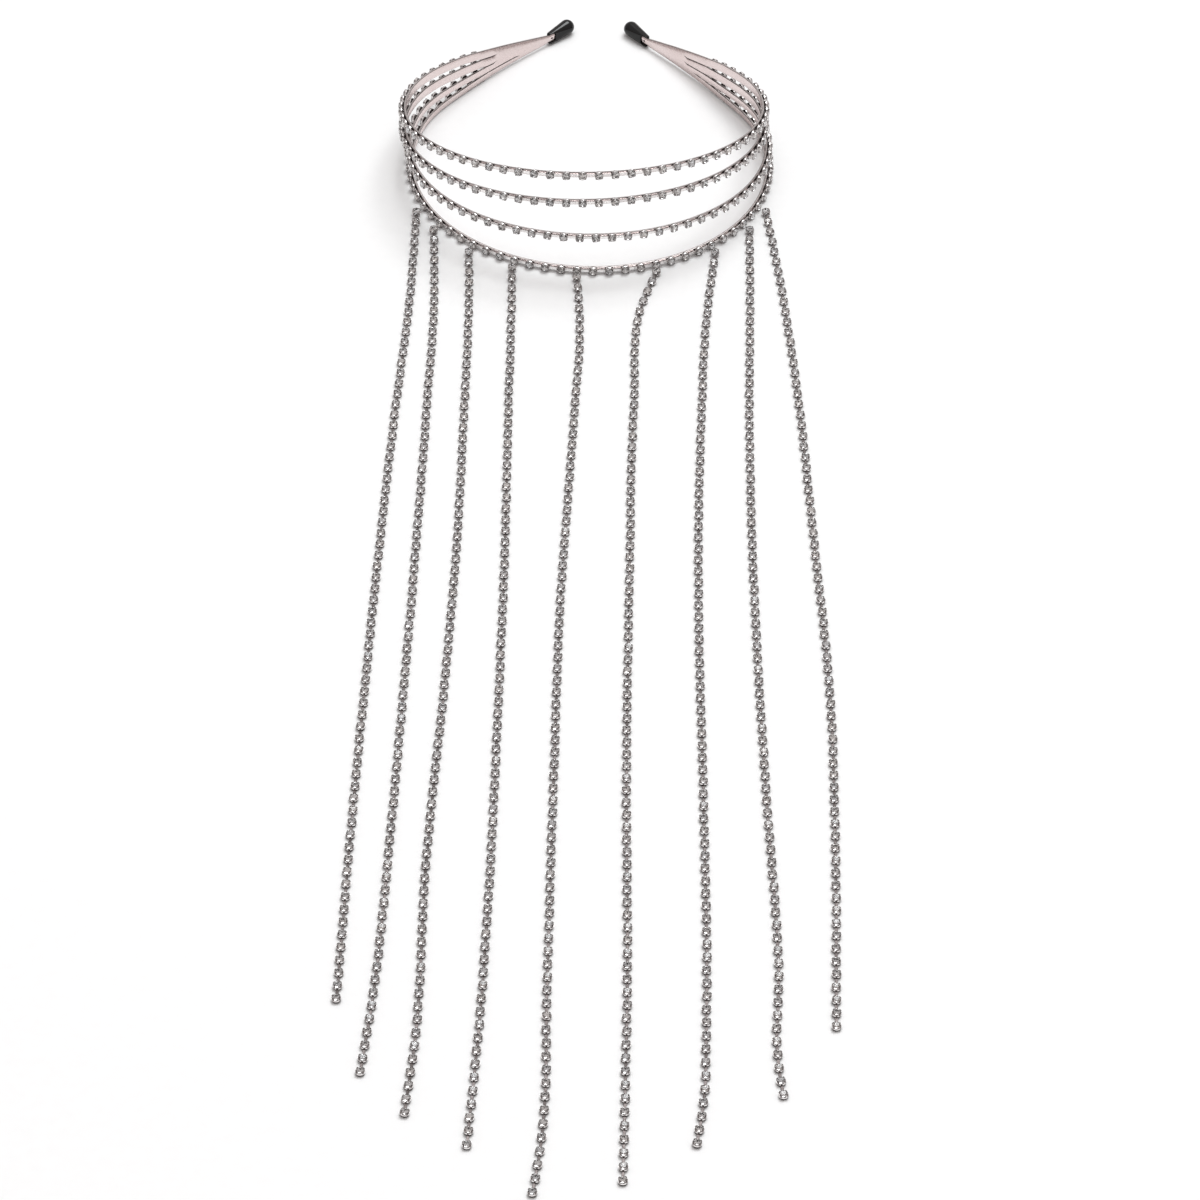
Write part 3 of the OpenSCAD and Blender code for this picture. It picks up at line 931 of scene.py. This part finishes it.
# %% Tassel chains
FIRST_TILT = [math.radians(37), math.radians(14)]
LIMP_TILT, LIMP_ROLL, TASSEL_TURN = 4, 7, 9
# A cup's foot lies this far over the table, and its edge this far from the cup's axis
FOOT_LIFT, FOOT_R = 0.03, 1.15
stone_counts = []


def walk(line, run):
    """Place and direction at a distance along a line of close points."""
    for a, b in zip(line, line[1:]):
        leg = (b - a).length
        if run <= leg:
            return a + (b - a) * run / leg, (b - a).normalized()
        run -= leg
    direction = (line[-1] - line[-2]).normalized()
    return line[-1] + direction * run, direction


for number, (stone, table_points) in enumerate(TASSELS, 1):
    route = [tassel_start(stone)] + [Vector(p) for p in table_points]
    line = route_line(route, 1)
    length = sum((b - a).length for a, b in zip(line, line[1:]))
    count = round((length - CUP_D) / PITCH) + 1
    spacing = (length - CUP_D) / (count - 1)
    stone_counts.append(count)
    units = []
    for i in range(count):
        flat, direction = walk(line, CUP_D / 2 + i * spacing)
        if i < len(FIRST_TILT):
            tilt = FIRST_TILT[i]
        else:
            tilt = math.radians(chance.uniform(-LIMP_TILT, LIMP_TILT))
        roll = math.radians(chance.uniform(-LIMP_ROLL, LIMP_ROLL))
        level = Vector((direction.x, direction.y, 0))
        along = level * math.cos(tilt) - Vector((0, 0, math.sin(tilt)))
        across = Vector((-direction.y, direction.x, 0))
        out = along.cross(across).normalized()
        out = Matrix.Rotation(roll, 3, along) @ out
        slant = math.sqrt(max(1 - out.z**2, 0))
        height = FOOT_LIFT + FOOT_R * slant
        unit = as_unit(Vector((flat.x, flat.y, height)), along, out)
        units.append(jostled(unit, TASSEL_TURN, 0))
    bars = []
    for a, b in zip(units, units[1:]):
        up_a, up_b = a.to_3x3().col[2], b.to_3x3().col[2]
        from_a = a.translation + up_a * (BAR_LIFT + BAR_T / 2)
        to_b = b.translation + up_b * (BAR_LIFT + BAR_T / 2)
        step = (to_b - from_a).normalized() * (CUP_D / 2 - BAR_TUCK)
        bars.append((from_a + step, to_b - step, (up_a + up_b).normalized()))
    # The tassel bars take the dark grey painted shade of the gaps between cups
    chain_piece(f"hanging_chain_{number}", f"tassel_{number}", units, bars, SHADED_LINK)
print("stones on the tassels:", stone_counts, "in all", sum(stone_counts))

# %% [markdown]
# ## Two moulded covers
#
# A soft cover is pushed on to each metal end: a round bulb that narrows to a mouth, with the inner
# side of the mouth cut back in a U. The bulb and the lips are wrapped in one skin, the pocket and
# the notch are cut out, and the whole is remeshed finely and relaxed, which rounds every edge the
# way a mould does.

# %% Cover shape
LIP_R = 0.3
POCKET_GAP, COVER_WALL, POCKET_INNER = 0.12, 0.35, -1.3
NOTCH_RUN, NOTCH_DEPTH = 2.4, -4
BULB_PAST, BULB_OUT = 2.6, 1.5
SKIN_GRAIN = 0.13


def plate_corner(s, room, is_head, side):
    rise = (wall_head(s) - wall_foot(s)).normalized()
    edge = wall_head(s) + room * rise if is_head else wall_foot(s) - room * rise
    return edge + side * (STRIP_T / 2 + room) * strip_out(3 if is_head else 0, s)


def ball(centre, radius, around, rings):
    points = []
    for ring in range(rings + 1):
        rise = math.pi * ring / rings
        for k in range(around):
            turn = 2 * math.pi * k / around
            flat = math.sin(rise) * math.cos(turn), math.sin(rise) * math.sin(turn)
            points.append(centre + radius * Vector((*flat, math.cos(rise))))
    return points


def wrapped(name, points):
    """The tightest skin around points in millimetres of the band."""
    skin = bmesh.new()
    for p in points:
        skin.verts.new(in_row(p))
    bmesh.ops.remove_doubles(skin, verts=skin.verts, dist=1e-6)
    made = bmesh.ops.convex_hull(skin, input=skin.verts)
    inside = [v for v in made["geom_interior"] if isinstance(v, bmesh.types.BMVert)]
    bmesh.ops.delete(skin, geom=inside, context="VERTS")
    mesh = bpy.data.meshes.new(name)
    skin.to_mesh(mesh)
    skin.free()
    piece = bpy.data.objects.new(name, mesh)
    bpy.context.scene.collection.objects.link(piece)
    return piece


def plate_block(name, from_s, to_s, room, inner, outer, side):
    corners = [
        plate_corner(s, room, is_head, face)
        for s in (from_s, to_s)
        for is_head in (False, True)
        for face in (inner, outer)
    ]
    return wrapped(name, [Vector((side * p.x, p.y, p.z)) for p in corners])


print("cover mouth", COVER_RUN, "mm from the metal's end")

# %% Covers
for side, node in ((-1, "tip_cover_left"), (1, "tip_cover_right")):
    lip_room = POCKET_GAP + COVER_WALL - LIP_R / 2
    bulb_s = half_length + BULB_PAST
    bulb = strip_point(0, bulb_s) + BULB_OUT * strip_out(0, bulb_s)
    points = ball(Vector((bulb.x, bulb.y, BULB_R)), BULB_R, 48, 24)
    for is_head in (False, True):
        for face in (-1, 1):
            points += ball(plate_corner(mouth_s, lip_room, is_head, face), LIP_R, 16, 8)
    cover = wrapped(f"moulded_{node}", [Vector((side * p.x, p.y, p.z)) for p in points])
    pocket = plate_block(
        "pocket", half_length + POCKET_GAP, mouth_s - 2, POCKET_GAP, POCKET_INNER, 1, side
    )
    notch = plate_block("notch", mouth_s + NOTCH_RUN, mouth_s - 3, 0, NOTCH_DEPTH, 0, side)
    for tool in (pocket, notch):
        cut = cover.modifiers.new(tool.name, "BOOLEAN")
        cut.operation = "DIFFERENCE"
        cut.object = tool
    settle(cover)
    for tool in (pocket, notch):
        bpy.data.objects.remove(tool)
    skin = cover.modifiers.new("even_skin", "REMESH")
    skin.mode = "VOXEL"
    skin.voxel_size = SKIN_GRAIN * MM
    ease = cover.modifiers.new("eased", "SMOOTH")
    ease.factor = 0.5
    ease.iterations = 4
    settle(cover)
    soften(cover.data, 180)
    cover.data.materials.clear()
    cover.data.materials.append(cover_vinyl)
    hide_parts(node)
    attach(cover, "root")
    print(cover.name, len(cover.data.polygons), "faces")

# %% [markdown]
# ## Table and light
#
# The picture has a white table that almost burns out, with soft grey shadows right under the metal.
# One large soft panel stands behind, high and a little to the right, and a wider, weaker one hangs
# overhead. The room is a pale warm grey, because bright metal shows little else. It is dark only at
# the small opening that the camera looks through, and the stones mirror that as fine dark ticks.

# %% Table
table_finish, tree = new_finish("white_paper_table")
place = add_node(tree, "ShaderNodeTexCoord").outputs["Object"]
fibre = add_node(
    tree, "ShaderNodeTexNoise", {"Vector": place, "Scale": cycles_across(4), "Detail": 2}
).outputs["Fac"]
paper_colour = add_node(tree, "ShaderNodeValToRGB", {"Fac": fibre})
paper_colour.color_ramp.elements[0].color = linear("#F1F1F1")
paper_colour.color_ramp.elements[1].color = linear("#F5F5F5")
paper_shader = add_node(
    tree,
    "ShaderNodeBsdfPrincipled",
    {"Base Color": paper_colour.outputs["Color"], "Roughness": 0.6},
)
add_node(tree, "ShaderNodeOutputMaterial", {"Surface": paper_shader.outputs["BSDF"]})
TABLE_REACH = 3
table_shape = bmesh.new()
bmesh.ops.create_grid(table_shape, x_segments=4, y_segments=4, size=TABLE_REACH)
table_mesh = bpy.data.meshes.new("table")
table_shape.to_mesh(table_mesh)
table_shape.free()
table = bpy.data.objects.new("table", table_mesh)
table.data.materials.append(table_finish)
bpy.context.scene.collection.objects.link(table)
print("table:", 2 * TABLE_REACH, "m square")

# %% Light
room = bpy.data.worlds.new("studio")
bpy.context.scene.world = room
room.use_nodes = True
tree = room.node_tree
tree.nodes.clear()
way = add_node(tree, "ShaderNodeTexCoord").outputs["Generated"]
lit_side = add_node(
    tree, "ShaderNodeVectorMath", {0: way, 1: (0.0, 0.55, 0.83)}, operation="DOT_PRODUCT"
).outputs["Value"]
room_tone = add_node(tree, "ShaderNodeValToRGB", {"Fac": lit_side})
room_tone.color_ramp.elements[0].position = 0.0
room_tone.color_ramp.elements[0].color = linear("#BDB9B8")
room_tone.color_ramp.elements[1].position = 0.9
room_tone.color_ramp.elements[1].color = linear("#D4D0CF")
dark_side = add_node(
    tree, "ShaderNodeVectorMath", {0: way, 1: tuple(-ahead)}, operation="DOT_PRODUCT"
).outputs["Value"]
opening = add_node(tree, "ShaderNodeValToRGB", {"Fac": dark_side})
opening.color_ramp.elements[0].position = 0.955
opening.color_ramp.elements[0].color = (1, 1, 1, 1)
opening.color_ramp.elements[1].position = 0.97
opening.color_ramp.elements[1].color = (0.01, 0.01, 0.01, 1)
seen_room = add_node(
    tree,
    "ShaderNodeMix",
    {0: 1.0, 6: room_tone.outputs["Color"], 7: opening.outputs["Color"]},
    data_type="RGBA",
    blend_type="MULTIPLY",
).outputs[2]
room_shader = add_node(tree, "ShaderNodeBackground", {"Color": seen_room, "Strength": 1.0})
add_node(tree, "ShaderNodeOutputWorld", {"Surface": room_shader.outputs["Background"]})


DAYLIGHT = (0.96, 0.99, 1.0)


def soft_panel(name, place, target, width, height, watts):
    lamp = bpy.data.lights.new(name, "AREA")
    lamp.shape = "RECTANGLE"
    lamp.size, lamp.size_y, lamp.energy = width, height, watts
    lamp.color = DAYLIGHT
    panel = bpy.data.objects.new(name, lamp)
    panel.location = place
    panel.rotation_euler = (Vector(target) - Vector(place)).to_track_quat("-Z", "Y").to_euler()
    bpy.context.scene.collection.objects.link(panel)
    return panel


soft_panel("panel_behind", (0.8, 2.1, 4.1), (0, 0, 0), 2.4, 2.1, 100)
soft_panel("panel_overhead", (0.3, 0.9, 4.4), (0, 0, 0), 4.0, 3.6, 53)
bpy.context.scene.view_settings.view_transform = "Standard"
bpy.context.scene.view_settings.look = "None"
